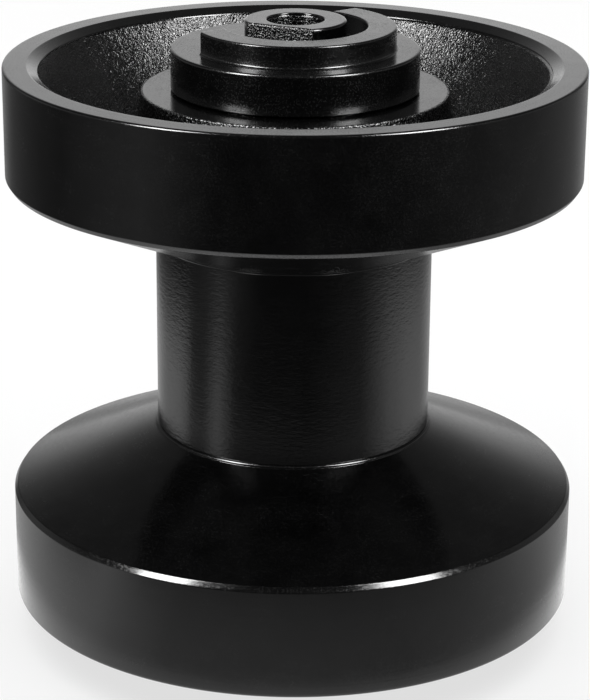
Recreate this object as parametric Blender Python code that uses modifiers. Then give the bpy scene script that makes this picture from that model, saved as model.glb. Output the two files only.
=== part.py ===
"""Bottom track roller of a compact rubber-track machine.

Two dished wheels sit on a hub tube and turn with it on flanged bushes around a fixed shaft, between two
end collars that are pinned to the shaft. A floating face seal at each end keeps the oil in. Each collar
carries a C-shaped locating lip, and the shaft's ends are flatted and drilled for the bolts that hang the
roller in its track frame.

The roller's axis is Z and its centre is the origin. Heights are distances from the mid-plane for the
upper end, and the lower end has the same parts turned over. Lengths are in metres, angles in degrees.
"""

import math

import bmesh
import bpy
from mathutils import Matrix, Vector

OBJECT_NAME = "track_roller"

# ------------------------------------------------------------------ driving dimensions
GAP = 0.0003                      # clearance between faces that touch or run on each other

WHEEL_RADIUS = 0.105              # rolling surface of the two wheels
RIM_FACE = 0.1006                 # outer faces of the rims
RIM_WIDTH = 0.0417                # rolling surface along the axis
RIM_EDGE = 0.0011                 # rounding of the rim's edges
RIM_LAND_RADIUS = 0.0963          # inner edge of the flat ring on the rim's face
DISH_MOUTH_RADIUS = 0.0924        # inner edge of the smooth bevel beside that ring
DISH_MOUTH = 0.0985
DISH_FLOOR_RADIUS = 0.075         # foot of the sloping dish wall
DISH_FLOOR = 0.064
HUB_RADIUS = 0.05075              # bare hub between the wheels
HUB_STEP_RADIUS = 0.0517          # inner end of each wheel's cone
HUB_STEP = 0.0356
BOSS_RADIUS = 0.0558              # machined ring round the collar
BOSS_FACE = 0.0904
BOSS_EDGE = 0.0008
BOSS_DRAFT = 0.0027               # how much the cast boss widens down to the dish floor
BOSS_FOOT = 0.004                 # rounding between the boss and the dish floor
DISH_FOOT = 0.007                 # rounding between the dish floor and its wall

SHAFT_RADIUS = 0.025              # bearing length
SHAFT_SHOULDER = 0.068
SHAFT_END_RADIUS = 0.0183
SHAFT_END = 0.1159
SHAFT_FLAT_ANGLE = -114.3         # direction that the flat on each shaft end faces
SHAFT_FLAT_DISTANCE = 0.0132      # from the axis to that flat
BOLT_HOLE_RADIUS = 0.0103         # clearance for a 20 mm or 3/4 in fixing bolt
BOLT_HOLE_BOTTOM = 0.074
DRILL_POINT = 31                  # slope of a drilled hole's bottom
GALLERY_RADIUS = 0.004            # oil gallery on the shaft's axis
GALLERY_BOTTOM = -0.006
CROSS_HOLE_RADIUS = 0.0025
PLUG_RADIUS = 0.0063
PLUG_BOTTOM = 0.0635
PLUG_TOP = 0.0715
PLUG_SOCKET_RADIUS = 0.0035

COLLAR_RADIUS = 0.0449
COLLAR_FACE = 0.1058
COLLAR_UNDERSIDE = 0.0912
COLLAR_SKIRT_RADIUS = 0.0416      # thin skirt round the fixed half of the seal
COLLAR_SKIRT_END = 0.086
COLLAR_NOSE_RADIUS = 0.031        # inner sleeve, down to the shaft's shoulder
LIP_OUTER_RADIUS = 0.0363
LIP_INNER_RADIUS = 0.0259
LIP_FACE = 0.1139
LIP_CUT_ANGLE = 127.5             # direction in which the lip is milled away
LIP_CUT_DISTANCE = 0.0095         # from the axis to the cut
SEAL_POCKET_RADIUS = 0.0402       # pocket for the fixed half of the seal
SEAL_POCKET_TOP = 0.0929

PIN_RADIUS = 0.004                # locks the collar to the shaft
PIN_HEIGHT = 0.0995
PIN_INNER_END = 0.0124
PIN_OUTER_END = 0.0446

BUSH_RADIUS = 0.030
BUSH_INNER_END = 0.018
BUSH_FLANGE_RADIUS = 0.036
BUSH_FLANGE = 0.0034              # thickness of the flange
TUBE_END = 0.0623
TUBE_CHAMBER_RADIUS = 0.0335      # oil chamber between the two bushes
SEAL_BORE_RADIUS = 0.0403         # seat of the rotating seal half in the wheel
SEAL_BORE_BOTTOM = 0.072
SEAL_BORE_TOP = 0.080
SKIRT_BORE_RADIUS = 0.042

SEAL_FACE = 0.083                 # plane where the two seal rings meet
SEAL_INNER_RADIUS = 0.032
SEAL_TAIL_RADIUS = 0.035
SEAL_FLANGE_RADIUS = 0.0396
SEAL_FLANGE = 0.0032
SEAL_LENGTH = 0.009
TORIC_RADIUS = 0.0376             # centre line of the rubber ring behind each seal ring
TORIC_SECTION = 0.0023
TORIC_OFFSET = 0.00595            # from the seal plane to the rubber ring's centre
O_RING_HEIGHT = 0.0785
O_RING_SECTION = 0.0009
O_RING_GROOVE_RADIUS = 0.0162
O_RING_GROOVE_WIDTH = 0.0026

FINE = 48                         # segments round the wheels, collars and hub tube
COARSE = 32                       # and round the shaft and the sealed inner pieces
SMALL = 16                        # and round pins and cross holes
RUBBER_SIDES = 6                  # sides of a rubber ring's section
HEXAGON = 6
OVERSHOOT = 0.005                 # how far a cutter runs past the face that it opens
SHARP = 30                        # edges sharper than this stay sharp


# ------------------------------------------------------------------ scene
def clear_scene():
    for obj in list(bpy.data.objects):
        bpy.data.objects.remove(obj, do_unlink=True)


def new_collection(name):
    collection = bpy.data.collections.new(name)
    bpy.context.scene.collection.children.link(collection)
    return collection


def new_group(name):
    """An empty on the roller's axis that carries the pieces of one rigid body."""
    empty = bpy.data.objects.new(name, None)
    empty.empty_display_size = WHEEL_RADIUS
    parts.objects.link(empty)
    return empty


# ------------------------------------------------------------------ materials
def new_material(name, colour, roughness, metallic):
    material = bpy.data.materials.new(name)
    material.use_nodes = True
    shader = material.node_tree.nodes["Principled BSDF"]
    shader.inputs["Base Color"].default_value = (*colour, 1.0)
    shader.inputs["Roughness"].default_value = roughness
    shader.inputs["Metallic"].default_value = metallic
    return material


# colour, roughness, metallic
FINISHES = {
    "black_paint": ((0.012, 0.012, 0.013), 0.32, 0.0),
    "bronze": ((0.55, 0.36, 0.16), 0.35, 1.0),
    "seal_iron": ((0.30, 0.30, 0.31), 0.30, 1.0),
    "rubber": ((0.015, 0.015, 0.015), 0.75, 0.0),
    "pin_steel": ((0.42, 0.42, 0.43), 0.35, 1.0),
}


def paint(obj, finish):
    """Give an object its own material in one of the roller's finishes."""
    obj.data.materials.clear()
    obj.data.materials.append(new_material(obj.name + "_" + finish, *FINISHES[finish]))


# ------------------------------------------------------------------ shapes
def polar(radius, angle, height):
    return Vector((radius * math.cos(math.radians(angle)), radius * math.sin(math.radians(angle)), height))


def fillet(before, corner, after, radius, steps):
    """Points of the arc that rounds one corner of a profile."""
    corner = Vector(corner)
    back = (Vector(before) - corner).normalized()
    ahead = (Vector(after) - corner).normalized()
    half = back.angle(ahead) / 2
    centre = corner + (back + ahead).normalized() * (radius / math.sin(half))
    start = corner + back * (radius / math.tan(half)) - centre
    turn = (math.pi - 2 * half) * math.copysign(1, back.cross(ahead))
    return [tuple(centre + Matrix.Rotation(-turn * step / steps, 2) @ start) for step in range(steps + 1)]


def rounded(profile, corners):
    """Round the corners of a closed profile: corners maps a point's index to (radius, steps)."""
    points = []
    for index, point in enumerate(profile):
        if index in corners:
            after = profile[(index + 1) % len(profile)]
            points.extend(fillet(profile[index - 1], point, after, *corners[index]))
        else:
            points.append(point)
    return points


def turned(profile, segments):
    """Mesh of a profile of (radius, height) points turned about Z, listed down its outer side.

    A profile that starts on the axis is an open line from axis to axis; any other is a closed loop.
    """
    count = len(profile)
    edges = [(i, i + 1) for i in range(count - 1)]
    if profile[0][0] > 0:
        edges.append((count - 1, 0))
    line = bpy.data.meshes.new("profile")
    line.from_pydata([(radius, 0, height) for radius, height in profile], edges, [])
    spun = bpy.data.objects.new("profile", line)
    parts.objects.link(spun)
    screw = spun.modifiers.new("Turn", "SCREW")
    screw.steps = segments
    screw.render_steps = segments
    screw.use_merge_vertices = True
    screw.merge_threshold = 0.00001
    graph = bpy.context.evaluated_depsgraph_get()
    mesh = bpy.data.meshes.new_from_object(spun.evaluated_get(graph))
    bpy.data.objects.remove(spun, do_unlink=True)
    bpy.data.meshes.remove(line)
    mesh.shade_smooth()
    mesh.set_sharp_from_angle(angle=math.radians(SHARP))
    return mesh


def add_part(name, mesh, finish, group, angle=0.0, turned_over=False):
    """Place a mesh as a named part: turned over about its own X axis, then swung by angle about Z."""
    obj = bpy.data.objects.new(name, mesh)
    obj.rotation_euler = (math.pi if turned_over else 0.0, 0.0, math.radians(angle))
    obj.parent = group
    parts.objects.link(obj)
    paint(obj, finish)
    return obj


def add_pair(name, mesh, finish, group, angle=0.0):
    """The same piece at the upper and the lower end."""
    return [add_part(name + "_upper", mesh, finish, group, angle),
            add_part(name + "_lower", mesh.copy(), finish, group, angle, turned_over=True)]


def cylinder_cutter(name, radius, start, end, sides):
    """A cutter from one point to another."""
    along = end - start
    bm = bmesh.new()
    bmesh.ops.create_cone(bm, cap_ends=True, segments=sides, radius1=radius, radius2=radius,
                          depth=along.length)
    bm.transform(Matrix.Translation((start + end) / 2) @ along.to_track_quat("Z", "X").to_matrix().to_4x4())
    return add_cutter(name, bm)


def flat_cutter(name, distance, reach, bottom, top, angle=0.0):
    """A box that removes what lies beyond a plane parallel to the axis."""
    bm = bmesh.new()
    bmesh.ops.create_cube(bm, size=1.0)
    centre = ((distance + reach) / 2, 0, (bottom + top) / 2)
    size = Matrix.Diagonal((reach - distance, 2 * reach, top - bottom, 1))
    bm.transform(Matrix.Rotation(math.radians(angle), 4, "Z") @ Matrix.Translation(centre) @ size)
    return add_cutter(name, bm)


def add_cutter(name, bm):
    mesh = bpy.data.meshes.new(name)
    bm.to_mesh(mesh)
    bm.free()
    obj = bpy.data.objects.new(name, mesh)
    obj.display_type = "WIRE"
    obj.hide_render = True
    cutters.objects.link(obj)
    return obj


def cut(obj, cutter):
    boolean = obj.modifiers.new("Cut " + cutter.name, "BOOLEAN")
    boolean.operation = "DIFFERENCE"
    boolean.solver = "EXACT"
    boolean.object = cutter


def cut_mesh(mesh, cutter):
    """The mesh with a cutter taken out of it, for a piece that is used at both ends."""
    obj = bpy.data.objects.new("blank", mesh)
    parts.objects.link(obj)
    cut(obj, cutter)
    graph = bpy.context.evaluated_depsgraph_get()
    result = bpy.data.meshes.new_from_object(obj.evaluated_get(graph))
    bpy.data.objects.remove(obj, do_unlink=True)
    result.shade_smooth()
    result.set_sharp_from_angle(angle=math.radians(SHARP))
    return result


def ring(outer, inner, top, bottom, segments):
    return turned([(inner, top), (outer, top), (outer, bottom), (inner, bottom)], segments)


def rubber_ring(radius, section, height):
    """A rubber ring of round section, as a torus."""
    turns = [2 * math.pi * i / RUBBER_SIDES for i in range(RUBBER_SIDES)]
    return turned([(radius + section * math.sin(a), height + section * math.cos(a)) for a in turns], COARSE)


# ------------------------------------------------------------------ fixed parts
def make_shaft():
    """Shaft with a drilled, flatted end each way and an oil gallery from the upper end to the middle."""
    drill_depth = BOLT_HOLE_RADIUS * math.tan(math.radians(DRILL_POINT))
    plug_seat = PLUG_RADIUS + GAP
    groove_top = O_RING_HEIGHT + O_RING_GROOVE_WIDTH / 2
    groove_bottom = O_RING_HEIGHT - O_RING_GROOVE_WIDTH / 2
    outside = [
        (BOLT_HOLE_RADIUS, SHAFT_END),
        (SHAFT_END_RADIUS, SHAFT_END),
        (SHAFT_END_RADIUS, groove_top),
        (O_RING_GROOVE_RADIUS, groove_top),
        (O_RING_GROOVE_RADIUS, groove_bottom),
        (SHAFT_END_RADIUS, groove_bottom),
        (SHAFT_END_RADIUS, SHAFT_SHOULDER),
        (SHAFT_RADIUS, SHAFT_SHOULDER),
    ]
    profile = [
        (0, GALLERY_BOTTOM),
        (GALLERY_RADIUS, GALLERY_BOTTOM),
        (GALLERY_RADIUS, PLUG_BOTTOM - GAP),
        (plug_seat, PLUG_BOTTOM - GAP),
        (plug_seat, BOLT_HOLE_BOTTOM),
        (BOLT_HOLE_RADIUS, BOLT_HOLE_BOTTOM),
        *outside,
        *((radius, -height) for radius, height in reversed(outside)),
        (BOLT_HOLE_RADIUS, -BOLT_HOLE_BOTTOM),
        (0, drill_depth - BOLT_HOLE_BOTTOM),
    ]
    shaft = add_part("shaft", turned(profile, COARSE), "black_paint", fixed)
    across = Vector((SHAFT_RADIUS + OVERSHOOT, 0, 0))
    cut(shaft, cylinder_cutter("cross_hole", CROSS_HOLE_RADIUS, -across, across, SMALL))
    for end, sign in (("upper", 1), ("lower", -1)):
        low, high = sorted((sign * (COLLAR_FACE + GAP), sign * (SHAFT_END + OVERSHOOT)))
        cut(shaft, flat_cutter("shaft_flat_" + end, SHAFT_FLAT_DISTANCE, SHAFT_RADIUS + OVERSHOOT, low,
                               high, SHAFT_FLAT_ANGLE))
        hole = cylinder_cutter("shaft_pin_hole_" + end, PIN_RADIUS + GAP,
                               polar(PIN_INNER_END - GAP, LIP_CUT_ANGLE, sign * PIN_HEIGHT),
                               polar(SHAFT_RADIUS, LIP_CUT_ANGLE, sign * PIN_HEIGHT), SMALL)
        cut(shaft, hole)


def make_collars():
    """End collar with its C-shaped lip, a skirt round the fixed seal half and a nose on the shoulder."""
    bore = SHAFT_END_RADIUS + GAP
    profile = [
        (LIP_INNER_RADIUS, LIP_FACE),
        (LIP_OUTER_RADIUS, LIP_FACE),
        (LIP_OUTER_RADIUS, COLLAR_FACE),
        (COLLAR_RADIUS, COLLAR_FACE),
        (COLLAR_RADIUS, COLLAR_UNDERSIDE),
        (COLLAR_SKIRT_RADIUS, COLLAR_UNDERSIDE),
        (COLLAR_SKIRT_RADIUS, COLLAR_SKIRT_END),
        (SEAL_POCKET_RADIUS, COLLAR_SKIRT_END),
        (SEAL_POCKET_RADIUS, SEAL_POCKET_TOP),
        (COLLAR_NOSE_RADIUS, SEAL_POCKET_TOP),
        (COLLAR_NOSE_RADIUS, SHAFT_SHOULDER + GAP),
        (bore, SHAFT_SHOULDER + GAP),
        (bore, COLLAR_FACE),
        (LIP_INNER_RADIUS, COLLAR_FACE),
    ]
    blank = turned(profile, FINE)
    blank = cut_mesh(blank, flat_cutter("lip_cut", LIP_CUT_DISTANCE, COLLAR_RADIUS, COLLAR_FACE,
                                        LIP_FACE + OVERSHOOT))
    hole = cylinder_cutter("collar_pin_hole", PIN_RADIUS + GAP, Vector((0, 0, PIN_HEIGHT)),
                           Vector((COLLAR_RADIUS + OVERSHOOT, 0, PIN_HEIGHT)), SMALL)
    add_pair("collar", cut_mesh(blank, hole), "black_paint", fixed, LIP_CUT_ANGLE)


def make_collar_pins():
    length = PIN_OUTER_END - PIN_INNER_END
    bm = bmesh.new()
    bmesh.ops.create_cone(bm, cap_ends=True, segments=SMALL, radius1=PIN_RADIUS, radius2=PIN_RADIUS,
                          depth=length)
    centre = Matrix.Translation((PIN_INNER_END + length / 2, 0, PIN_HEIGHT))
    bm.transform(centre @ Matrix.Rotation(math.pi / 2, 4, "Y"))
    mesh = bpy.data.meshes.new("collar_pin")
    bm.to_mesh(mesh)
    bm.free()
    mesh.shade_smooth()
    mesh.set_sharp_from_angle(angle=math.radians(SHARP))
    add_pair("collar_pin", mesh, "pin_steel", fixed, LIP_CUT_ANGLE)


def make_oil_plug():
    """Socket-headed pipe plug at the bottom of the upper bolt hole."""
    socket_bottom = (PLUG_TOP + PLUG_BOTTOM) / 2
    blank = turned([(0, PLUG_TOP), (PLUG_RADIUS, PLUG_TOP), (PLUG_RADIUS, PLUG_BOTTOM), (0, PLUG_BOTTOM)],
                   COARSE)
    socket = cylinder_cutter("plug_socket", PLUG_SOCKET_RADIUS, Vector((0, 0, socket_bottom)),
                             Vector((0, 0, PLUG_TOP + OVERSHOOT)), HEXAGON)
    add_part("oil_plug", cut_mesh(blank, socket), "pin_steel", fixed)


def make_collar_o_rings():
    groove_middle = (O_RING_GROOVE_RADIUS + SHAFT_END_RADIUS + GAP) / 2
    o_ring = rubber_ring(groove_middle, O_RING_SECTION, O_RING_HEIGHT)
    add_pair("collar_o_ring", o_ring, "rubber", fixed)


# ------------------------------------------------------------------ floating face seals
def seal_ring(sign):
    """Metal seal ring: a flange at the sealing plane and a tail that carries the rubber ring."""
    face = SEAL_FACE + sign * GAP / 2
    profile = [
        (SEAL_INNER_RADIUS, face),
        (SEAL_FLANGE_RADIUS, face),
        (SEAL_FLANGE_RADIUS, face + sign * SEAL_FLANGE),
        (SEAL_TAIL_RADIUS, face + sign * SEAL_FLANGE),
        (SEAL_TAIL_RADIUS, face + sign * SEAL_LENGTH),
        (SEAL_INNER_RADIUS, face + sign * SEAL_LENGTH),
    ]
    return turned(profile if sign < 0 else profile[::-1], COARSE)


def make_seals():
    for name, sign, group in (("rotating_seal", -1, rotating), ("fixed_seal", 1, fixed)):
        add_pair(name + "_ring", seal_ring(sign), "seal_iron", group)
        toric = rubber_ring(TORIC_RADIUS, TORIC_SECTION, SEAL_FACE + sign * TORIC_OFFSET)
        add_pair(name + "_toric", toric, "rubber", group)


# ------------------------------------------------------------------ rotating parts
def make_wheels():
    """Dished wheel: rim, sloping web and a boss bored for the hub tube, the bush flange and the seal."""
    profile = [
        (RIM_LAND_RADIUS, RIM_FACE),
        (WHEEL_RADIUS, RIM_FACE),
        (WHEEL_RADIUS, RIM_FACE - RIM_WIDTH),
        (HUB_STEP_RADIUS, HUB_STEP),
        (HUB_RADIUS + GAP, HUB_STEP),
        (HUB_RADIUS + GAP, TUBE_END + GAP),
        (BUSH_FLANGE_RADIUS + GAP, TUBE_END + GAP),
        (BUSH_FLANGE_RADIUS + GAP, SEAL_BORE_BOTTOM),
        (SEAL_BORE_RADIUS, SEAL_BORE_BOTTOM),
        (SEAL_BORE_RADIUS, SEAL_BORE_TOP),
        (SKIRT_BORE_RADIUS, SEAL_BORE_TOP),
        (SKIRT_BORE_RADIUS, BOSS_FACE),
        (BOSS_RADIUS, BOSS_FACE),
        (BOSS_RADIUS + BOSS_DRAFT, DISH_FLOOR),
        (DISH_FLOOR_RADIUS, DISH_FLOOR),
        (DISH_MOUTH_RADIUS, DISH_MOUTH),
    ]
    roundings = {1: (RIM_EDGE, 1), 2: (RIM_EDGE, 1), 12: (BOSS_EDGE, 1), 13: (BOSS_FOOT, 2),
                 14: (DISH_FOOT, 3)}
    add_pair("wheel", turned(rounded(profile, roundings), FINE), "black_paint", rotating)


def make_hub_tube():
    """Tube between the wheels: a bush seat at each end and an oil chamber in the middle."""
    seat = BUSH_RADIUS + GAP
    chamber_end = BUSH_INNER_END - GAP
    profile = [
        (seat, TUBE_END),
        (HUB_RADIUS, TUBE_END),
        (HUB_RADIUS, -TUBE_END),
        (seat, -TUBE_END),
        (seat, -chamber_end),
        (TUBE_CHAMBER_RADIUS, -chamber_end),
        (TUBE_CHAMBER_RADIUS, chamber_end),
        (seat, chamber_end),
    ]
    add_part("hub_tube", turned(profile, FINE), "black_paint", rotating)


def make_bushes():
    """Flanged bush; its flange takes the side load against the thrust washer."""
    flange_bottom = TUBE_END + GAP
    profile = [
        (SHAFT_RADIUS + GAP, flange_bottom + BUSH_FLANGE),
        (BUSH_FLANGE_RADIUS, flange_bottom + BUSH_FLANGE),
        (BUSH_FLANGE_RADIUS, flange_bottom),
        (BUSH_RADIUS, flange_bottom),
        (BUSH_RADIUS, BUSH_INNER_END),
        (SHAFT_RADIUS + GAP, BUSH_INNER_END),
    ]
    add_pair("bush", turned(profile, COARSE), "bronze", rotating)


def make_thrust_washers():
    bottom = TUBE_END + BUSH_FLANGE + 2 * GAP
    washer = ring(BUSH_FLANGE_RADIUS, SHAFT_RADIUS + GAP, SHAFT_SHOULDER, bottom, COARSE)
    add_pair("thrust_washer", washer, "bronze", rotating)


# ------------------------------------------------------------------ assembly
clear_scene()
parts = new_collection(OBJECT_NAME)
cutters = new_collection("cutters")
fixed = new_group("shaft_group")
rotating = new_group("roller_group")

make_shaft()
make_collars()
make_collar_pins()
make_oil_plug()
make_collar_o_rings()
make_wheels()
make_hub_tube()
make_bushes()
make_thrust_washers()
make_seals()
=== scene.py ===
"""Looks of the track roller: fine turned pieces with real roundings and as-cast skin, black paint, studio."""

import math

import bpy
import numpy as np
from mathutils import Matrix, Vector, noise


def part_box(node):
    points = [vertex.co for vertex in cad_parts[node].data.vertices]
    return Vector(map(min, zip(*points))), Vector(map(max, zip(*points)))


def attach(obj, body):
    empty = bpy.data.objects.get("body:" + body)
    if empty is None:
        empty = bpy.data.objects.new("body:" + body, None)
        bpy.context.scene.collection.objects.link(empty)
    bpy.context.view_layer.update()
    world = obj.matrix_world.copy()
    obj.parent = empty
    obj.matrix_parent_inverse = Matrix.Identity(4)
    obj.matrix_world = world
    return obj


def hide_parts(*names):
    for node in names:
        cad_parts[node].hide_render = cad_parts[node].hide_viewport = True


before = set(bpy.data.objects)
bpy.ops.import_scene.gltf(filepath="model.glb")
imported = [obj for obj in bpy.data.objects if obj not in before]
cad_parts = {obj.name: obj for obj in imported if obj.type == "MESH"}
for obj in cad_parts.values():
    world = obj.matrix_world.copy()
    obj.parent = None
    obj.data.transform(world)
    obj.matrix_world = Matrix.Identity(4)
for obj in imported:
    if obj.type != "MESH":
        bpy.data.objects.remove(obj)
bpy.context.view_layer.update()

# ------------------------------------------------------------------ sizes, in metres
GAP = 0.0003                      # clearance that the solids keep to each other

WHEEL_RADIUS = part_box("wheel_upper")[1].x
RIM_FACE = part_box("wheel_upper")[1].z
HUB_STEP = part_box("wheel_upper")[0].z
HUB_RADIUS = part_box("hub_tube")[1].x
TUBE_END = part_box("hub_tube")[1].z
COLLAR_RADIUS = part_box("collar_upper")[1].x
LIP_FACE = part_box("collar_upper")[1].z
SHAFT_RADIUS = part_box("shaft")[1].x
SHAFT_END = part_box("shaft")[1].z

RIM_BOTTOM = 0.0589               # inner edge of the rolling surface
CHAMFER = 0.0018                  # height of the chamfer at that inner edge
CHAMFER_DEPTH = 0.0012
RIM_LAND_RADIUS = 0.0963
DISH_MOUTH_RADIUS = 0.0924
DISH_MOUTH = 0.0985
DISH_FLOOR_RADIUS = 0.075
DISH_FLOOR = 0.064
DISH_OFFSET = (-0.0006, 0.0001)   # the cast dish sits a little off the turned rim's centre
NECK_RADIUS = 0.0517              # short neck between each wheel's cone and the bare hub
NECK = 0.0012
BOSS_RADIUS = 0.0558
BOSS_FACE = 0.0904
BOSS_STRIP = 0.0009               # rough strip left along the edge of the boss's turned face
BOSS_FOOT_RADIUS = 0.0585

HUB_BORE_RADIUS = 0.0303
HUB_RELIEF_RADIUS = 0.0335        # wider middle of the hub's bore, which holds the oil
HUB_RELIEF_END = 0.0177

SHAFT_SHOULDER = 0.068
SHAFT_END_RADIUS = 0.0183
SHAFT_FLAT_ANGLE = math.radians(-114.3)
SHAFT_FLAT_DISTANCE = 0.0132
SHAFT_FLAT_LEDGE = 0.0002         # height over which the flat runs out at its foot
SHAFT_FLAT_REACH = 0.003          # the flat cuts only what lies this near the shaft's round side
SHAFT_SIDE = 0.0009               # and is rough only where it is the side, not the rounded edge or the end
O_RING_GROOVE_RADIUS = 0.0162
O_RING_GROOVE_BOTTOM = 0.0772
O_RING_GROOVE_TOP = 0.0798
BOLT_HOLE_RADIUS = 0.0103
BOLT_HOLE_BOTTOM = 0.074
DRILL_POINT = math.radians(31)
PLUG_SEAT_RADIUS = 0.0066
PLUG_SEAT_BOTTOM = 0.0632
GALLERY_RADIUS = 0.004
GALLERY_BOTTOM = -0.006
TIP_RADIUS = 0.00002              # radius at the points of the drilled holes

COLLAR_BORE_RADIUS = SHAFT_END_RADIUS + 0.00008
COLLAR_FACE = 0.1058
COLLAR_UNDERSIDE = 0.0912
COLLAR_SKIRT_RADIUS = 0.0416
COLLAR_SKIRT_END = 0.086
COLLAR_NOSE_RADIUS = 0.031
LIP_OUTER_RADIUS = 0.0363
LIP_INNER_RADIUS = 0.0259
LIP_FLARE = 0.0009                # the lip widens by this much at its foot
LIP_BURIED = 0.001                # how far the lip reaches into the disc, for the union
LIP_CUT_ANGLE = math.radians(127.5)
LIP_CUT_DISTANCE = 0.0095

BUSH_FLANGE_RADIUS = 0.036
SEAL_BORE_RADIUS = 0.0403
SEAL_BORE_BOTTOM = 0.072
SEAL_BORE_TOP = 0.080
SKIRT_BORE_RADIUS = 0.042
SEAL_POCKET_TOP = 0.0929
SEAL_POCKET_RADIUS = SEAL_BORE_RADIUS - GAP / 3

# radii of the rounded edges and corners
RIM_ROUND = 0.0009
RIM_LAND_ROUND = 0.0004
CHAMFER_TOP_ROUND = 0.0006
CHAMFER_FOOT_ROUND = 0.0005
NECK_TOP_ROUND = 0.0002
NECK_FOOT_ROUND = 0.0009
BOSS_BORE_ROUND = 0.0004
BOSS_ROUND = 0.0006
BOSS_FOOT_ROUND = 0.0055
DISH_FLOOR_ROUND = 0.009
DISH_MOUTH_ROUND = 0.0002
HUB_ROUND = 0.0003
COLLAR_ROUND = 0.0009
COLLAR_BORE_ROUND = 0.0002
COLLAR_UNDERSIDE_ROUND = 0.0004
LIP_ROUND = 0.0006
LIP_END_ROUND = 0.0002
SHAFT_ROUND = 0.0008
SHAFT_SHOULDER_ROUND = 0.0005
BOLT_HOLE_ROUND = 0.0005

# fineness of the meshes
ARC_STEP = math.radians(15)       # of the roundings
HOLD = 0.00035                    # narrow strip beside each rounding that keeps the flats flat
SHARP = math.radians(32)
WHEEL_SEGMENTS = 720
FINE_SEGMENTS = 360
LIP_COLUMNS = 300
WHEEL_SKIN_STEP = 0.0006
SHAFT_SKIN_STEP = 0.0005

# relief of the rough skin: the size across and the height of its bumps
LUMP_SIZE = 0.0065
LUMP_HEIGHT = 0.00011
PEBBLE_SIZE = 0.0016
PEBBLE_HEIGHT = 0.00007
SHAFT_SKIN_SIZE = 0.0012
SHAFT_SKIN_HEIGHT = 0.00002

CAST = "cast"                     # marks a rough stretch, in an outline and in a mesh


# ------------------------------------------------------------------ turned meshes
def unit(vector):
    return vector / np.linalg.norm(vector)


def outline(corners, step=None):
    """Closed profile from corners (radius, height, rounding[, mark]), listed down the outer side.

    Returns the points and, for each, whether it lies on a marked stretch, which runs on from its corner
    and is divided into steps of the given length.
    """
    points = []
    marks = []
    arcs = []
    count = len(corners)
    for index, corner in enumerate(corners):
        here = np.array(corner[:2], float)
        back = unit(np.array(corners[index - 1][:2]) - here)
        ahead = unit(np.array(corners[(index + 1) % count][:2]) - here)
        half = math.acos(np.clip(back @ ahead, -1, 1)) / 2
        rounding = corner[2]
        if rounding == 0:
            arcs.append([here])
            continue
        centre = here + unit(back + ahead) * rounding / math.sin(half)
        start = here + back * rounding / math.tan(half) - centre
        turn = (math.pi - 2 * half) * -math.copysign(1, back[0] * ahead[1] - back[1] * ahead[0])
        steps = max(2, math.ceil(abs(turn) / ARC_STEP))
        arc = [here + back * (rounding / math.tan(half) + HOLD)]
        for i in range(steps + 1):
            c, s = math.cos(turn * i / steps), math.sin(turn * i / steps)
            arc.append(centre + np.array((c * start[0] - s * start[1], s * start[0] + c * start[1])))
        arc.append(here + ahead * (rounding / math.tan(half) + HOLD))
        arcs.append(arc)
    for index, arc in enumerate(arcs):
        marked = len(corners[index]) > 3
        was_marked = len(corners[index - 1]) > 3
        points.extend(arc)
        marks.extend([1.0 if marked and was_marked else 0.0] * len(arc))
        if marked and step:
            gap = arcs[(index + 1) % count][0] - arc[-1]
            parts = max(1, round(np.linalg.norm(gap) / step))
            points.extend(arc[-1] + gap * i / parts for i in range(1, parts))
            marks.extend([1.0] * (parts - 1))
    return np.array(points), np.array(marks)


def grid_points(profile, segments):
    angle = 2 * math.pi * np.arange(segments) / segments
    radius, height = profile[:, 0, None], profile[:, 1, None]
    return np.stack((radius * np.cos(angle), radius * np.sin(angle), height + 0 * angle), axis=2)


def grid_mesh(name, grid):
    """Mesh of a closed grid of points, rows down the outer side and columns all the way round."""
    rows, columns = grid.shape[:2]
    upper = np.arange(rows)[:, None] * columns
    lower = (np.arange(1, rows + 1)[:, None] % rows) * columns
    here = np.arange(columns)[None, :]
    beside = (here + 1) % columns
    faces = np.stack((upper + here, lower + here, lower + beside, upper + beside), axis=2)
    mesh = bpy.data.meshes.new(name)
    mesh.from_pydata(grid.reshape(-1, 3).tolist(), [], faces.reshape(-1, 4).tolist())
    return mesh


def shade(mesh):
    mesh.validate()
    mesh.shade_smooth()
    mesh.set_sharp_from_angle(angle=SHARP)
    return mesh


def mark_cast(mesh, values):
    """Store at each point how rough its skin is, for the paint."""
    attribute = mesh.attributes.new(CAST, "FLOAT", "POINT")
    attribute.data.foreach_set("value", np.asarray(values, np.float32).ravel())


def noise_at(points, size, octaves, seed):
    """Fractal noise of about -1 to 1, with features of the given size."""
    falloff, lacunarity = 0.9, 2.1
    shift = Vector((seed, -seed, seed / 2))
    flat = points.reshape(-1, 3)
    values = [noise.fractal(Vector(p) / size + shift, falloff, lacunarity, octaves) for p in flat]
    return np.array(values).reshape(points.shape[:-1])


def grid_normals(grid):
    down = np.roll(grid, -1, axis=0) - np.roll(grid, 1, axis=0)
    along = np.roll(grid, -1, axis=1) - np.roll(grid, 1, axis=1)
    normal = np.cross(down, along)
    return normal / np.maximum(np.linalg.norm(normal, axis=2, keepdims=True), 1e-12)


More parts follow.
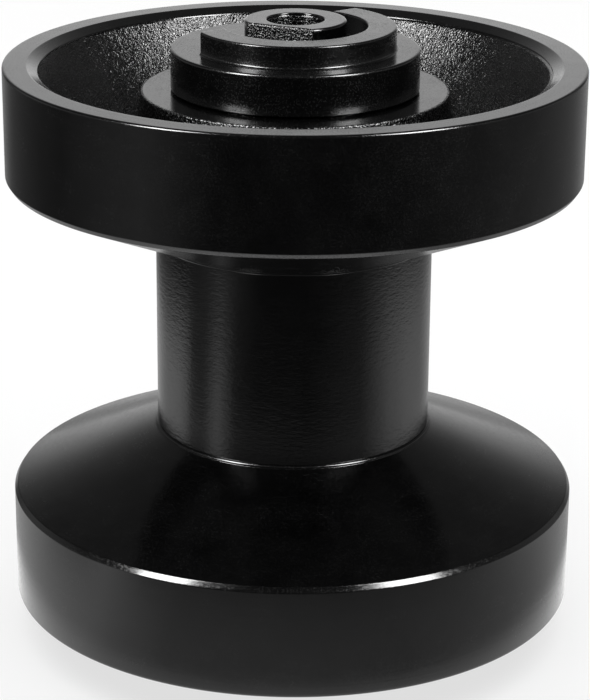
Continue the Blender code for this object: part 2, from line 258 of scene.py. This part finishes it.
# ------------------------------------------------------------------ node materials
class Nodes:
    """Short ways to add shader nodes to a material or a world."""

    def __init__(self, owner):
        owner.use_nodes = True
        self.owner = owner
        self.tree = owner.node_tree
        self.shader = self.tree.nodes.get("Principled BSDF")

    def add(self, kind, inputs=None, **settings):
        node = self.tree.nodes.new(kind)
        for key, value in settings.items():
            setattr(node, key, value)
        for key, value in (inputs or {}).items():
            self.put(node.inputs[key], value)
        return node

    def put(self, socket, value):
        if isinstance(value, bpy.types.NodeSocket):
            self.tree.links.new(value, socket)
        else:
            socket.default_value = value

    def math(self, operation, a, b=0.0):
        return self.add("ShaderNodeMath", {0: a, 1: b}, operation=operation).outputs[0]

    def fit(self, value, low, high, to_low=0.0, to_high=1.0, smooth=False):
        """Map a value's range onto another, clamped, with straight or with eased ends."""
        inputs = {0: value, 1: low, 2: high, 3: to_low, 4: to_high}
        kind = "SMOOTHSTEP" if smooth else "LINEAR"
        return self.add("ShaderNodeMapRange", inputs, interpolation_type=kind).outputs[0]

    def ramp(self, value, stops):
        """Straight lines through (position, level) stops, for positions and levels between 0 and 1."""
        node = self.add("ShaderNodeValToRGB", {"Fac": value})
        elements = node.color_ramp.elements
        for index, (position, level) in enumerate(stops):
            element = elements[index] if index < 2 else elements.new(position)
            element.position = position
            element.color = (level, level, level, 1)
        return node.outputs["Color"]

    def noise(self, vector, scale, detail=2.0, roughness=0.5):
        inputs = {"Vector": vector, "Scale": scale, "Detail": detail, "Roughness": roughness}
        return self.add("ShaderNodeTexNoise", inputs).outputs["Fac"]

    def position(self):
        return self.add("ShaderNodeTexCoord").outputs["Object"]

    def split(self, vector):
        return self.add("ShaderNodeSeparateXYZ", {0: vector}).outputs

    def length(self, x, y):
        return self.math("SQRT", self.math("ADD", self.math("MULTIPLY", x, x), self.math("MULTIPLY", y, y)))

    def lathe(self, pitch, wander=2.0, detail=3.0):
        """Fine rings about the Z axis, as a turning tool leaves them: a noise drawn out round the axis."""
        x, y, z = self.split(self.position())
        radius = self.length(x, y)
        around_x = self.math("MULTIPLY", self.math("DIVIDE", x, radius), wander)
        around_y = self.math("MULTIPLY", self.math("DIVIDE", y, radius), wander)
        outwards = self.math("DIVIDE", radius, pitch)
        vector = self.add("ShaderNodeCombineXYZ", {0: around_x, 1: around_y, 2: outwards}).outputs[0]
        inputs = {"Vector": vector, "W": self.math("DIVIDE", z, pitch), "Scale": 1.0, "Detail": detail,
                  "Roughness": 0.6}
        return self.add("ShaderNodeTexNoise", inputs, noise_dimensions="4D").outputs["Fac"]

    def bump(self, height, depth, under=None):
        inputs = {"Height": height, "Distance": depth, "Strength": 1.0}
        if under is not None:
            inputs["Normal"] = under
        return self.add("ShaderNodeBump", inputs).outputs["Normal"]

    def blend(self, factor, a, b):
        return self.add("ShaderNodeMix", {0: factor, 6: a, 7: b}, data_type="RGBA").outputs[2]


def new_material(name):
    return Nodes(bpy.data.materials.new(name))


BLACK = (0.0014, 0.0014, 0.0015, 1)
WORN_BLACK = (0.0030, 0.0030, 0.0031, 1)
ENAMEL_IOR = 1.52

# scales of the paint's noises, in features per metre, and depths of its relief, in metres
MOTTLE_SCALE = 90.0
SPECK_SCALE = 1700.0
PEEL_SCALE = 1300.0
PEEL_DEPTH = 0.000008
CHATTER_PITCH = 0.0035
CHATTER_DEPTH = 0.000025
CAST_PIT_SCALE = 1250.0
CAST_PIT_SHARE = 0.2
CAST_DULL_SCALE = 1500.0
CAST_DEPTH = 0.00032
CAST_SHINE = -0.05                # change in the paint's roughness between the skin's dull specks


def black_paint(name, gloss=0.12, marks=(0.0005, 2.0, 0.000012), dust=0.12, cast=None):
    """Black enamel over turned steel and, where the mesh is marked as cast, over rough skin.

    marks is the pitch, the raggedness and the depth of the tool marks. dust is how much rougher the
    paint is at its specks of dry overspray. cast is the scale of the skin's grain and how much rougher
    the paint is at its dull specks.
    """
    pitch, raggedness, depth = marks
    n = new_material(name)
    place = n.position()
    mottle = n.noise(place, MOTTLE_SCALE, 4.0, 0.6)
    n.put(n.shader.inputs["Base Color"], n.blend(n.fit(mottle, 0.35, 0.7), BLACK, WORN_BLACK))
    n.shader.inputs["IOR"].default_value = ENAMEL_IOR
    rings = n.lathe(pitch, raggedness)
    waves = n.lathe(CHATTER_PITCH, 1.2, 2.0)
    specks = n.fit(n.noise(place, SPECK_SCALE, 1.0), 0.48, 0.68, 0.0, dust)
    roughness = n.math("ADD", n.fit(mottle, 0.3, 0.7, gloss - 0.02, gloss + 0.04),
                       n.fit(rings, 0.3, 0.8, -0.02, 0.04))
    normal = n.bump(rings, depth)
    normal = n.bump(waves, CHATTER_DEPTH, normal)
    normal = n.bump(n.noise(place, PEEL_SCALE, 2.0, 0.6), PEEL_DEPTH, normal)
    if cast:
        grain_scale, dullness = cast
        mask = n.add("ShaderNodeAttribute", attribute_name=CAST).outputs["Fac"]
        grain = n.noise(place, grain_scale, 1.0)
        pits = n.add("ShaderNodeTexVoronoi", {"Vector": place, "Scale": CAST_PIT_SCALE}).outputs["Distance"]
        skin = n.math("ADD", grain, n.math("MULTIPLY", pits, CAST_PIT_SHARE))
        normal = n.bump(n.math("MULTIPLY", skin, mask), CAST_DEPTH, normal)
        dull = n.fit(n.noise(place, CAST_DULL_SCALE, 1.0), 0.44, 0.60, CAST_SHINE, dullness)
        specks = n.add("ShaderNodeMix", {0: mask, 2: specks, 3: dull}).outputs[0]
    n.put(n.shader.inputs["Roughness"], n.math("ADD", roughness, specks))
    n.put(n.shader.inputs["Normal"], normal)
    return n.owner


def bare_metal(name, colour, dark, gloss):
    """Machined metal with tool marks and a thin film of oil."""
    pitch, depth = 0.0003, 0.000006
    n = new_material(name)
    rings = n.lathe(pitch)
    stain = n.noise(n.position(), 120.0, 4.0)
    n.put(n.shader.inputs["Base Color"], n.blend(n.fit(stain, 0.35, 0.7), (*colour, 1), (*dark, 1)))
    n.shader.inputs["Metallic"].default_value = 1.0
    n.put(n.shader.inputs["Roughness"], n.fit(rings, 0.3, 0.7, gloss, gloss + 0.15))
    n.put(n.shader.inputs["Normal"], n.bump(rings, depth))
    return n.owner


def rubber(name):
    """Black rubber with a grey bloom and a fine grain."""
    dark, bloomed = (0.010, 0.010, 0.010, 1), (0.028, 0.027, 0.026, 1)
    grain_scale, grain_depth = 2500.0, 0.00002
    n = new_material(name)
    place = n.position()
    bloom = n.noise(place, 200.0, 5.0, 0.6)
    n.put(n.shader.inputs["Base Color"], n.blend(n.fit(bloom, 0.4, 0.75), dark, bloomed))
    n.put(n.shader.inputs["Roughness"], n.fit(bloom, 0.3, 0.7, 0.5, 0.72))
    n.put(n.shader.inputs["Normal"], n.bump(n.noise(place, grain_scale, 3.0), grain_depth))
    return n.owner


# ------------------------------------------------------------------ pieces
def add_piece(name, mesh, material, body, node, angle=0.0, turned_over=False):
    piece = bpy.data.objects.new(name, mesh)
    bpy.context.scene.collection.objects.link(piece)
    mesh.materials.clear()
    mesh.materials.append(material)
    piece.rotation_euler = (math.pi if turned_over else 0.0, 0.0, angle)
    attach(piece, body)
    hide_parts(node)


def wheel_mesh(name, seed):
    corners = [
        (RIM_LAND_RADIUS, RIM_FACE, RIM_LAND_ROUND),
        (WHEEL_RADIUS, RIM_FACE, RIM_ROUND),
        (WHEEL_RADIUS, RIM_BOTTOM + CHAMFER, CHAMFER_TOP_ROUND),
        (WHEEL_RADIUS - CHAMFER_DEPTH, RIM_BOTTOM, CHAMFER_FOOT_ROUND),
        (NECK_RADIUS, HUB_STEP + NECK, NECK_TOP_ROUND),
        (NECK_RADIUS, HUB_STEP, NECK_FOOT_ROUND),
        (HUB_RADIUS + GAP, HUB_STEP, 0),
        (HUB_RADIUS + GAP, TUBE_END + GAP, 0),
        (BUSH_FLANGE_RADIUS + GAP, TUBE_END + GAP, 0),
        (BUSH_FLANGE_RADIUS + GAP, SEAL_BORE_BOTTOM, 0),
        (SEAL_BORE_RADIUS, SEAL_BORE_BOTTOM, 0),
        (SEAL_BORE_RADIUS, SEAL_BORE_TOP, 0),
        (SKIRT_BORE_RADIUS, SEAL_BORE_TOP, 0),
        (SKIRT_BORE_RADIUS, BOSS_FACE, BOSS_BORE_ROUND),
        (BOSS_RADIUS - BOSS_STRIP - HOLD, BOSS_FACE, 0),
        (BOSS_RADIUS - BOSS_STRIP, BOSS_FACE, 0, CAST),
        (BOSS_RADIUS, BOSS_FACE, BOSS_ROUND, CAST),
        (BOSS_FOOT_RADIUS, DISH_FLOOR, BOSS_FOOT_ROUND, CAST),
        (DISH_FLOOR_RADIUS, DISH_FLOOR, DISH_FLOOR_ROUND, CAST),
        (DISH_MOUTH_RADIUS, DISH_MOUTH, DISH_MOUTH_ROUND),
    ]
    profile, cast = outline(corners, WHEEL_SKIN_STEP)
    grid = grid_points(profile, WHEEL_SEGMENTS)
    rows = cast > 0
    skin = grid[rows]
    lumps = LUMP_HEIGHT * noise_at(skin, LUMP_SIZE, 2, seed)
    pebbles = PEBBLE_HEIGHT * noise_at(skin, PEBBLE_SIZE, 2, seed + 9)
    sideways = np.clip((profile[rows, 0] - BOSS_FOOT_RADIUS) / (DISH_MOUTH_RADIUS - BOSS_FOOT_RADIUS), 0, 1)
    skin += grid_normals(grid)[rows] * (lumps + pebbles)[..., None]
    skin[..., 0] += sideways[:, None] * DISH_OFFSET[0]
    skin[..., 1] += sideways[:, None] * DISH_OFFSET[1]
    grid[rows] = skin
    mesh = grid_mesh(name, grid)
    mark_cast(mesh, np.repeat(cast, WHEEL_SEGMENTS))
    return shade(mesh)


def make_wheels():
    for end, seed, over in (("upper", 3.1, False), ("lower", 17.7, True)):
        mesh = wheel_mesh("wheel_" + end, seed)
        paint = black_paint("wheel_paint_" + end, cast=(1400.0, 0.22))
        add_piece("roller_wheel_" + end, mesh, paint, "roller", "wheel_" + end,
                  turned_over=over)


def make_hub():
    corners = [
        (HUB_BORE_RADIUS, TUBE_END, 0),
        (HUB_RADIUS, TUBE_END, HUB_ROUND),
        (HUB_RADIUS, -TUBE_END, HUB_ROUND),
        (HUB_BORE_RADIUS, -TUBE_END, 0),
        (HUB_BORE_RADIUS, -HUB_RELIEF_END, 0),
        (HUB_RELIEF_RADIUS, -HUB_RELIEF_END, 0),
        (HUB_RELIEF_RADIUS, HUB_RELIEF_END, 0),
        (HUB_BORE_RADIUS, HUB_RELIEF_END, 0),
    ]
    profile, _ = outline(corners)
    mesh = shade(grid_mesh("hub", grid_points(profile, FINE_SEGMENTS)))
    paint = black_paint("hub_paint", gloss=0.11, marks=(0.0009, 22.0, 0.00010), dust=0.06)
    add_piece("roller_hub", mesh, paint, "roller", "hub_tube")


def lip_section(inset):
    """The C-shaped lip's profile, down the outside and back up the inside, flared at the foot."""
    outer, inner, top = LIP_OUTER_RADIUS - inset, LIP_INNER_RADIUS + inset, LIP_FACE - inset
    foot = COLLAR_FACE - LIP_BURIED
    corners = [
        (inner, top, LIP_ROUND),
        (outer, top, LIP_ROUND),
        (outer, COLLAR_FACE, 0),
        (inner, COLLAR_FACE, 0),
    ]
    points, _ = outline(corners)
    rounded = points[:-2].tolist()
    flare = []
    for angle in range(0, 90, 15):
        a = math.radians(angle)
        flare.append((LIP_FLARE * (1 - math.cos(a)), LIP_FLARE * (1 - math.sin(a))))
    outside = [(outer + w, COLLAR_FACE + h) for w, h in flare] + [(outer + LIP_FLARE, foot)]
    inside = [(inner - LIP_FLARE, foot)] + [(inner - w, COLLAR_FACE + h) for w, h in flare[::-1]]
    return np.array(rounded + outside + inside)


def lip_mesh(name):
    """The C-shaped lip, cut off by one plane: each radius runs from the plane round to the plane."""
    ends = [(LIP_END_ROUND * (1 - math.sin(a)), LIP_END_ROUND * (1 - math.cos(a)))
            for a in np.radians((90, 67.5, 45, 22.5, 0))]
    columns = [(lip_section(inset), back, 0.0) for back, inset in ends]
    whole = lip_section(0.0)
    columns.extend((whole, LIP_END_ROUND, t) for t in np.linspace(0, 1, LIP_COLUMNS)[1:-1])
    columns.extend((lip_section(inset), back, 1.0) for back, inset in reversed(ends))
    points = np.empty((len(whole), len(columns), 3))
    for column, (profile, back, t) in enumerate(columns):
        half = np.arccos((LIP_CUT_DISTANCE - back) / profile[:, 0])
        angle = half + t * (2 * math.pi - 2 * half)
        points[:, column] = np.stack((profile[:, 0] * np.cos(angle), profile[:, 0] * np.sin(angle),
                                      profile[:, 1]), axis=1)
    rows, count = points.shape[:2]
    faces = []
    for i in range(rows):
        j = (i + 1) % rows
        for k in range(count - 1):
            faces.append((i * count + k, j * count + k, j * count + k + 1, i * count + k + 1))
    faces.append([i * count for i in range(rows)])
    faces.append([i * count + count - 1 for i in reversed(range(rows))])
    mesh = bpy.data.meshes.new(name)
    mesh.from_pydata(points.reshape(-1, 3).tolist(), [], faces)
    return mesh


def union(mesh, other):
    """One mesh joined with another, through an exact Boolean."""
    first = bpy.data.objects.new("first", mesh)
    second = bpy.data.objects.new("second", other)
    bpy.context.scene.collection.objects.link(first)
    bpy.context.scene.collection.objects.link(second)
    modifier = first.modifiers.new("Join", "BOOLEAN")
    modifier.operation = "UNION"
    modifier.solver = "EXACT"
    modifier.object = second
    graph = bpy.context.evaluated_depsgraph_get()
    result = bpy.data.meshes.new_from_object(first.evaluated_get(graph))
    bpy.data.objects.remove(first)
    bpy.data.objects.remove(second)
    return result


def make_collars():
    corners = [
        (COLLAR_BORE_RADIUS, COLLAR_FACE, COLLAR_BORE_ROUND),
        (COLLAR_RADIUS, COLLAR_FACE, COLLAR_ROUND),
        (COLLAR_RADIUS, COLLAR_UNDERSIDE, COLLAR_UNDERSIDE_ROUND),
        (COLLAR_SKIRT_RADIUS, COLLAR_UNDERSIDE, 0),
        (COLLAR_SKIRT_RADIUS, COLLAR_SKIRT_END, 0),
        (SEAL_POCKET_RADIUS, COLLAR_SKIRT_END, 0),
        (SEAL_POCKET_RADIUS, SEAL_POCKET_TOP, 0),
        (COLLAR_NOSE_RADIUS, SEAL_POCKET_TOP, 0),
        (COLLAR_NOSE_RADIUS, SHAFT_SHOULDER + GAP, 0),
        (COLLAR_BORE_RADIUS, SHAFT_SHOULDER + GAP, 0),
    ]
    profile, _ = outline(corners)
    for end, over in (("upper", False), ("lower", True)):
        disc = grid_mesh("collar_" + end, grid_points(profile, FINE_SEGMENTS))
        mesh = shade(union(disc, lip_mesh("lip")))
        paint = black_paint("collar_paint_" + end, gloss=0.17, dust=0.11)
        add_piece("end_collar_" + end, mesh, paint, "shaft_group", "collar_" + end,
                  LIP_CUT_ANGLE, over)


def make_shaft():
    flat_foot = COLLAR_FACE + GAP
    outside = [
        (SHAFT_END_RADIUS, flat_foot + SHAFT_FLAT_LEDGE, 0),
        (SHAFT_END_RADIUS, flat_foot, 0),
        (SHAFT_END_RADIUS, O_RING_GROOVE_TOP, 0),
        (O_RING_GROOVE_RADIUS, O_RING_GROOVE_TOP, 0),
        (O_RING_GROOVE_RADIUS, O_RING_GROOVE_BOTTOM, 0),
        (SHAFT_END_RADIUS, O_RING_GROOVE_BOTTOM, 0),
        (SHAFT_END_RADIUS, SHAFT_SHOULDER, 0),
        (SHAFT_RADIUS, SHAFT_SHOULDER, SHAFT_SHOULDER_ROUND),
    ]
    lower = [(radius, -height, rounding) for radius, height, rounding in reversed(outside)]
    drill_depth = BOLT_HOLE_RADIUS * math.tan(DRILL_POINT)
    corners = [
        (TIP_RADIUS, GALLERY_BOTTOM, 0),
        (GALLERY_RADIUS, GALLERY_BOTTOM, 0),
        (GALLERY_RADIUS, PLUG_SEAT_BOTTOM, 0),
        (PLUG_SEAT_RADIUS, PLUG_SEAT_BOTTOM, 0),
        (PLUG_SEAT_RADIUS, BOLT_HOLE_BOTTOM, 0),
        (BOLT_HOLE_RADIUS, BOLT_HOLE_BOTTOM, 0, CAST),
        (BOLT_HOLE_RADIUS, SHAFT_END, BOLT_HOLE_ROUND),
        (SHAFT_END_RADIUS, SHAFT_END, SHAFT_ROUND, CAST),
        *outside,
        *lower[:-1],
        (*lower[-1], CAST),
        (SHAFT_END_RADIUS, -SHAFT_END, SHAFT_ROUND),
        (BOLT_HOLE_RADIUS, -SHAFT_END, BOLT_HOLE_ROUND, CAST),
        (BOLT_HOLE_RADIUS, -BOLT_HOLE_BOTTOM, 0),
        (TIP_RADIUS, drill_depth - BOLT_HOLE_BOTTOM, 0),
    ]
    profile, rough = outline(corners, SHAFT_SKIN_STEP)
    grid = grid_points(profile, FINE_SEGMENTS)
    facing = np.array((math.cos(SHAFT_FLAT_ANGLE), math.sin(SHAFT_FLAT_ANGLE), 0))
    inset = SHAFT_END_RADIUS - profile[:, 0]
    at_flat = (np.abs(profile[:, 1]) > flat_foot + SHAFT_FLAT_LEDGE / 2) & (inset < SHAFT_FLAT_REACH)
    beyond = grid @ facing - (SHAFT_FLAT_DISTANCE - inset)[:, None]
    beyond = np.where(at_flat[:, None], np.maximum(beyond, 0), 0)
    grid -= beyond[..., None] * facing
    in_hole = (rough > 0) & (profile[:, 0] < BOLT_HOLE_RADIUS + GAP)
    on_flat = (beyond > 0) & (inset < SHAFT_SIDE)[:, None]
    mask = np.where(on_flat | in_hole[:, None], 1.0, 0.0)
    rows = mask.max(axis=1) > 0
    lift = SHAFT_SKIN_HEIGHT * noise_at(grid[rows], SHAFT_SKIN_SIZE, 2, 5.0) * mask[rows]
    grid[rows] += grid_normals(grid)[rows] * lift[..., None]
    grid[..., 2] = np.clip(grid[..., 2], -SHAFT_END, SHAFT_END)
    mesh = grid_mesh("shaft", grid)
    mark_cast(mesh, mask)
    paint = black_paint("shaft_paint", cast=(2000.0, 0.15))
    add_piece("roller_shaft", shade(mesh), paint, "shaft_group", "shaft")


def paint_inner_nodes():
    """The sealed inner pieces keep their solids and take a finish of their own."""
    bronze = bare_metal("bush_bronze", (0.60, 0.40, 0.18), (0.42, 0.25, 0.10), 0.22)
    iron = bare_metal("seal_iron", (0.34, 0.34, 0.35), (0.22, 0.22, 0.23), 0.20)
    steel = bare_metal("pin_steel", (0.50, 0.50, 0.51), (0.33, 0.33, 0.34), 0.22)
    black_rubber = rubber("seal_rubber")
    looks = {"bush": bronze, "thrust_washer": bronze, "rotating_seal_ring": iron, "fixed_seal_ring": iron,
             "rotating_seal_toric": black_rubber, "fixed_seal_toric": black_rubber,
             "collar_o_ring": black_rubber, "collar_pin": steel, "oil_plug": steel}
    for name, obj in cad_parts.items():
        kind = name.removesuffix("_upper").removesuffix("_lower")
        if kind in looks:
            obj.data.materials.clear()
            obj.data.materials.append(looks[kind])


# ------------------------------------------------------------------ studio
CAMERA_PITCH = math.radians(19.713)
CAMERA_ROLL = math.radians(0.424)
CAMERA_TARGET = Vector((0.00065, 0, -0.0098))
CAMERA_DISTANCE = 0.9483
LENS = 130.4
CLIP_START = 0.05

WHITE = (1, 1, 1, 1)
FLOOR_COLOUR = (0.28, 0.28, 0.28, 1)
FLOOR_RADIUS = 6.0
FLOOR_GLOW = 0.72
CARD_RADIUS = 1.8
CARD_HEIGHT = 0.0004              # above the floor
DISC_SIDES = 96

# each softbox's name, azimuth in degrees, width in metres and power in watts
SOFTBOXES = (("softbox_left", -54, 0.48, 48), ("softbox_right", 50, 0.54, 47))
SOFTBOX_ELEVATION = 34
SOFTBOX_DISTANCE = 1.5
SOFTBOX_HEIGHT = 0.92
CEILING_HEIGHT = 3.0
CEILING_SIZE = 5.0
CEILING_POWER = 165

# Painted reflection of the floor as the roller mirrors it, with painted pools of light from the softboxes and
# painted shade near the roller and in front.
# Brightness near the roller, at the softboxes' pools of light and further out: stops of azimuth in degrees (0
# in front, positive to the right) and radiance.
POOL_NEAR = ((-180, 0.45), (-130, 0.47), (-60, 0.88), (-34, 0.45), (28, 0.36), (100, 0.58), (135, 0.46))
POOL_MIDDLE = ((-180, 0.50), (-125, 0.58), (-104, 0.95), (-94, 0.85), (-87, 0.25), (-74, 0.20),
               (-61, 1.00), (-46, 0.09), (10, 0.04), (55, 0.18), (82, 0.88), (100, 0.88), (126, 0.47))
POOL_FAR = ((-180, 0.50), (-138, 0.12), (-96, 0.06), (-56, 0.27), (-28, 0.03), (28, 0.03), (84, 0.16),
            (132, 0.20), (180, 0.50))
# Painted pool of light on the card, close under the lower wheel.
POOL_FOOT = (1.4, 1.4, 1.4, 1)    # close under the lower wheel
POOL_SLANT = 0.09                 # the far pool starts further out on the right by this share of x


def make_camera():
    ahead = Vector((0, math.cos(CAMERA_PITCH), -math.sin(CAMERA_PITCH)))
    up = Vector((0, math.sin(CAMERA_PITCH), math.cos(CAMERA_PITCH)))
    right = Vector((1, 0, 0))
    rolled_right = right * math.cos(CAMERA_ROLL) + up * math.sin(CAMERA_ROLL)
    rolled_up = up * math.cos(CAMERA_ROLL) - right * math.sin(CAMERA_ROLL)
    turn = Matrix((rolled_right, rolled_up, -ahead)).transposed()
    camera = bpy.data.objects.new("camera", bpy.data.cameras.new("camera"))
    bpy.context.scene.collection.objects.link(camera)
    camera.data.lens = LENS
    camera.data.clip_start = CLIP_START
    camera.matrix_world = Matrix.Translation(CAMERA_TARGET - ahead * CAMERA_DISTANCE) @ turn.to_4x4()
    bpy.context.scene.camera = camera


def towards(azimuth, elevation):
    """Direction from the roller; azimuth 0 is towards the front and positive angles are to the right."""
    a, e = math.radians(azimuth), math.radians(elevation)
    return Vector((math.sin(a) * math.cos(e), -math.cos(a) * math.cos(e), math.sin(e)))


def area_light(name, direction, distance, width, height, power):
    light = bpy.data.lights.new(name, "AREA")
    light.shape = "RECTANGLE"
    light.size = width
    light.size_y = height
    light.energy = power
    lamp = bpy.data.objects.new(name, light)
    bpy.context.scene.collection.objects.link(lamp)
    lamp.location = direction * distance
    lamp.rotation_euler = direction.to_track_quat("Z", "Y").to_euler()
    return lamp


def stage_disc(name, radius, height):
    """A flat disc of the studio, with the nodes of its new material."""
    bpy.ops.mesh.primitive_circle_add(vertices=DISC_SIDES, radius=radius, fill_type="NGON",
                                      location=(0, 0, height))
    disc = bpy.context.object
    disc.name = name
    n = new_material(name)
    disc.data.materials.append(n.owner)
    return disc, n


def make_floor():
    """Plain pale floor; reflections see the glowing card just above it instead."""
    floor, n = stage_disc("floor", FLOOR_RADIUS, -SHAFT_END)
    n.shader.inputs["Base Color"].default_value = FLOOR_COLOUR
    n.shader.inputs["Roughness"].default_value = 0.7
    n.shader.inputs["Specular IOR Level"].default_value = 0.0
    n.shader.inputs["Emission Color"].default_value = WHITE
    n.shader.inputs["Emission Strength"].default_value = FLOOR_GLOW
    floor.visible_glossy = False


def make_reflection_card():
    """A card just above the floor that only reflections see, and which glows as a lit table would: a painted
    reflection, with painted pools of light and painted shade.
    """
    card, n = stage_disc("reflection_card", CARD_RADIUS, CARD_HEIGHT - SHAFT_END)
    n.tree.nodes.remove(n.shader)
    x, y, _ = n.split(n.add("ShaderNodeNewGeometry").outputs["Position"])
    radius = n.length(x, y)
    azimuth = n.math("ARCTAN2", x, n.math("MULTIPLY", y, -1.0))
    turn = n.fit(azimuth, -math.pi, math.pi)
    near, middle, far = (n.ramp(turn, [(degrees / 360 + 0.5, level) for degrees, level in pool])
                         for pool in (POOL_NEAR, POOL_MIDDLE, POOL_FAR))
    slanted = n.math("SUBTRACT", radius, n.math("MULTIPLY", x, POOL_SLANT))
    glow = n.blend(n.fit(radius, 0.12, 0.15, smooth=True), POOL_FOOT, near)
    glow = n.blend(n.fit(radius, 0.16, 0.30, smooth=True), glow, middle)
    glow = n.blend(n.fit(slanted, 0.37, 0.50, smooth=True), glow, far)
    light = n.add("ShaderNodeEmission", {"Color": glow}).outputs[0]
    n.put(n.tree.nodes["Material Output"].inputs["Surface"], light)
    card.visible_camera = False
    card.visible_diffuse = False
    card.visible_shadow = False


def make_world():
    """Backdrop glow behind the roller that fades upwards, dim elsewhere; the camera sees plain white."""
    brightest, horizon, fade = 1.05, 2.3, -4.0
    wall_glow, room_glow = 0.22, 0.06
    world = bpy.data.worlds.new("studio")
    bpy.context.scene.world = world
    n = Nodes(world)
    x, y, z = n.split(n.add("ShaderNodeTexCoord").outputs["Generated"])
    aside = n.math("ABSOLUTE", x)
    upwards = n.math("MULTIPLY", n.math("EXPONENT", n.math("MULTIPLY", z, fade)), horizon)
    backdrop = n.math("MINIMUM", upwards, brightest)
    backdrop = n.math("MULTIPLY", backdrop, n.fit(aside, 0.05, 0.58, 1.0, 0.0, smooth=True))
    backdrop = n.math("MULTIPLY", backdrop, n.fit(y, 0.0, 0.4, smooth=True))
    walls = n.math("MULTIPLY", n.fit(aside, 0.5, 0.85, 0.0, wall_glow, smooth=True),
                   n.fit(z, 0.2, 0.5, 1.0, 0.0, smooth=True))
    glow = n.math("ADD", n.math("ADD", backdrop, walls), room_glow)
    to_camera = n.add("ShaderNodeLightPath").outputs["Is Camera Ray"]
    strength = n.add("ShaderNodeMix", {0: to_camera, 2: glow, 3: 1.0}).outputs[0]
    background = n.tree.nodes["Background"]
    n.put(background.inputs["Strength"], strength)
    background.inputs["Color"].default_value = WHITE


def make_lights():
    """Softboxes that only reflections see, and a ceiling light that only the soft shading sees."""
    for name, azimuth, width, power in SOFTBOXES:
        softbox = area_light(name, towards(azimuth, SOFTBOX_ELEVATION), SOFTBOX_DISTANCE, width,
                             SOFTBOX_HEIGHT, power)
        softbox.visible_diffuse = False
    ceiling = area_light("ceiling_light", Vector((0, 0, 1)), CEILING_HEIGHT, CEILING_SIZE, CEILING_SIZE,
                         CEILING_POWER)
    ceiling.visible_glossy = False


make_wheels()
make_hub()
make_collars()
make_shaft()
paint_inner_nodes()
make_camera()
make_floor()
make_reflection_card()
make_world()
make_lights()
bpy.context.scene.view_settings.view_transform = "Standard"
